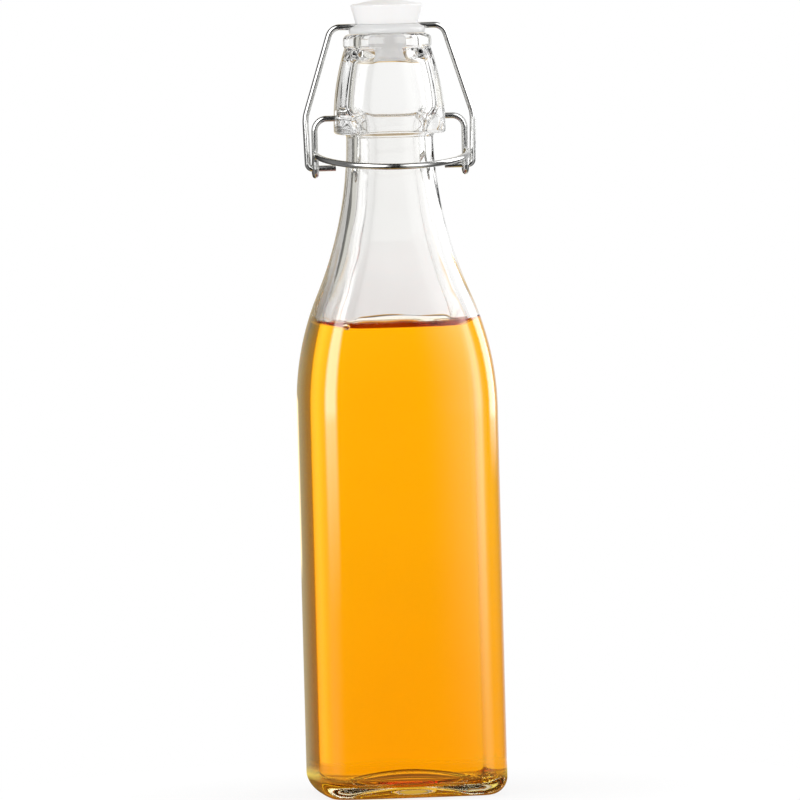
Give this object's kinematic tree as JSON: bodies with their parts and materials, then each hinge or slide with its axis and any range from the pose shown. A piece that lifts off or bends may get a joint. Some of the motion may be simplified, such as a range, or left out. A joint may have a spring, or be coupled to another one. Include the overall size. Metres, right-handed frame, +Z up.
{
  "type": "swing top bottle",
  "caption": "Tall clear glass bottle of rounded square section, filled with amber liquid and closed by a white stopper that a hinged wire bail and lever hold down.",
  "frame": {"origin": "centre of the base, on the surface that the bottle stands on", "axes": "+Z up along the bottle's axis, -Y to the front, where the lever's bow is, and X along the lever's pivots"},
  "size_m": [0.0632, 0.0632, 0.26],
  "materials": {
    "clear_glass": "clear, polished by fire",
    "amber_liquid": "clear liquid",
    "bright_wire": "bright drawn steel wire",
    "white_plastic": "smooth moulded",
    "clear_rubber": "translucent, soft"
  },
  "bodies": {
    "bottle": {"glass_bottle": "clear_glass", "liquid_contents": "amber_liquid"},
    "lever": {"lever_wire": "bright_wire"},
    "bail": {"bail_wire": "bright_wire"},
    "closure": {"stopper": "white_plastic", "gasket": "clear_rubber"}
  },
  "joints": [
    {"name": "lever_swing", "type": "hinge", "parent": "bottle", "child": "lever", "pos_m": [0, 0, 0.2215], "axis": [-1, 0, 0], "range_deg": [0, 150]},
    {"name": "bail_swing", "type": "hinge", "parent": "lever", "child": "bail", "pos_m": [0, 0.0005, 0.2053], "axis": [-1, 0, 0], "range_deg": [-105, 0]},
    {"name": "stopper_swing", "type": "hinge", "parent": "bail", "child": "closure", "pos_m": [0, 0, 0.2513], "axis": [-1, 0, 0], "range_deg": [-45, 0]}
  ],
  "couplings": [
    {"joint": "bail_swing", "follows": "lever_swing", "ratio": -0.7},
    {"joint": "stopper_swing", "follows": "lever_swing", "ratio": -0.3}
  ]
}
